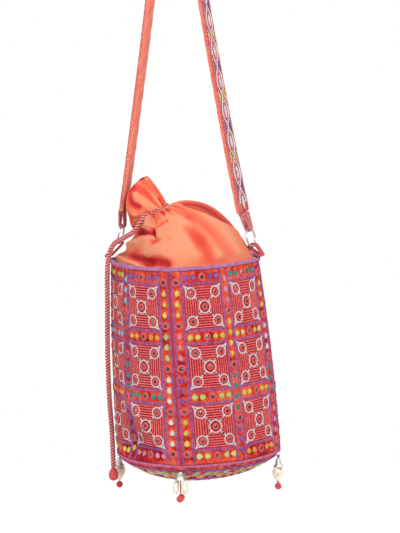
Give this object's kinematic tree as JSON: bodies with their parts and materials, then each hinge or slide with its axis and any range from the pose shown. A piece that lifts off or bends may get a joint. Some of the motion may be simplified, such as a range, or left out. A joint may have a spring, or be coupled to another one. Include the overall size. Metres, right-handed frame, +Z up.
{
  "type": "potli bag",
  "caption": "Soft square-based shoulder bag with embroidered mirrored sides, a gathered drawstring top, a strap on rings and cowrie tassels at its base corners.",
  "frame": {"origin": "underside of the strap at its top, where it hangs over a hook", "axes": "+Z up, +X from the left ring to the right ring, the near base corner towards -Y"},
  "size_m": [0.2438, 0.2455, 0.8994],
  "materials": {
    "embroidered_cotton": "embroidered and mirrored quilted cotton",
    "lilac_braid": "stitched braid",
    "coral_cotton": "plain woven cotton",
    "embroidered_strap": "embroidered strap face",
    "rose_thread": "twisted cotton thread",
    "silver_metal": "worn polished metal",
    "cowrie_shell": null,
    "red_cloth_ball": "wrapped cloth ball"
  },
  "bodies": {
    "strap": {"strap_face": "embroidered_strap", "strap_lining": "coral_cotton", "strap_loops_left": "rose_thread", "strap_loops_right": "rose_thread"},
    "ring_left": {"ring_left": "silver_metal"},
    "ring_right": {"ring_right": "silver_metal"},
    "bag": {"bag_loops_left": "rose_thread", "bag_loops_right": "rose_thread", "base_braid": "lilac_braid", "base_panel": "embroidered_cotton", "corner_cord_back": "lilac_braid", "corner_cord_front": "lilac_braid", "corner_cord_left": "lilac_braid", "corner_cord_right": "lilac_braid", "drawcord": "rose_thread", "drawcord_ball": "rose_thread", "drawstring_top": "coral_cotton", "rim_braid": "lilac_braid", "side_back_left": "embroidered_cotton", "side_back_right": "embroidered_cotton", "side_front_left": "embroidered_cotton", "side_front_right": "embroidered_cotton", "tassel_back_knot": "rose_thread", "tassel_front_knot": "rose_thread", "tassel_left_knot": "rose_thread", "tassel_right_knot": "rose_thread"},
    "tassel_front": {"tassel_front_ball_a": "red_cloth_ball", "tassel_front_ball_b": "red_cloth_ball", "tassel_front_cap": "silver_metal", "tassel_front_cowrie_a": "cowrie_shell", "tassel_front_cowrie_b": "cowrie_shell", "tassel_front_thread": "rose_thread"},
    "tassel_right": {"tassel_right_ball_a": "red_cloth_ball", "tassel_right_ball_b": "red_cloth_ball", "tassel_right_cap": "silver_metal", "tassel_right_cowrie_a": "cowrie_shell", "tassel_right_cowrie_b": "cowrie_shell", "tassel_right_thread": "rose_thread"},
    "tassel_back": {"tassel_back_ball_a": "red_cloth_ball", "tassel_back_ball_b": "red_cloth_ball", "tassel_back_cap": "silver_metal", "tassel_back_cowrie_a": "cowrie_shell", "tassel_back_cowrie_b": "cowrie_shell", "tassel_back_thread": "rose_thread"},
    "tassel_left": {"tassel_left_ball_a": "red_cloth_ball", "tassel_left_ball_b": "red_cloth_ball", "tassel_left_cap": "silver_metal", "tassel_left_cowrie_a": "cowrie_shell", "tassel_left_cowrie_b": "cowrie_shell", "tassel_left_thread": "rose_thread"}
  },
  "joints": [
    {"name": "bag_swing", "type": "hinge", "parent": "strap", "child": "bag", "pos_m": [-0.0715, 0, -0.5435], "axis": [1, 0, 0], "range_deg": [-30, 30]},
    {"name": "ring_left_spin", "type": "hinge", "parent": "strap", "child": "ring_left", "pos_m": [-0.0715, 0, -0.5435], "axis": [0.9842, -0.0349, -0.1735], "continuous": true},
    {"name": "ring_right_spin", "type": "hinge", "parent": "strap", "child": "ring_right", "pos_m": [0.1065, 0, -0.5435], "axis": [0.9454, -0.2419, 0.2183], "continuous": true},
    {"name": "tassel_front_swing", "type": "hinge", "parent": "bag", "child": "tassel_front", "pos_m": [0.035, -0.1149, -0.8387], "axis": [-1, 0, 0], "range_deg": [-20, 60]},
    {"name": "tassel_right_swing", "type": "hinge", "parent": "bag", "child": "tassel_right", "pos_m": [0.145, 0, -0.84106], "axis": [0, -1, 0], "range_deg": [-20, 60]},
    {"name": "tassel_back_swing", "type": "hinge", "parent": "bag", "child": "tassel_back", "pos_m": [0.035, 0.1149, -0.8387], "axis": [1, 0, 0], "range_deg": [-20, 60]},
    {"name": "tassel_left_swing", "type": "hinge", "parent": "bag", "child": "tassel_left", "pos_m": [-0.075, 0, -0.84874], "axis": [0, 1, 0], "range_deg": [-20, 60]}
  ]
}
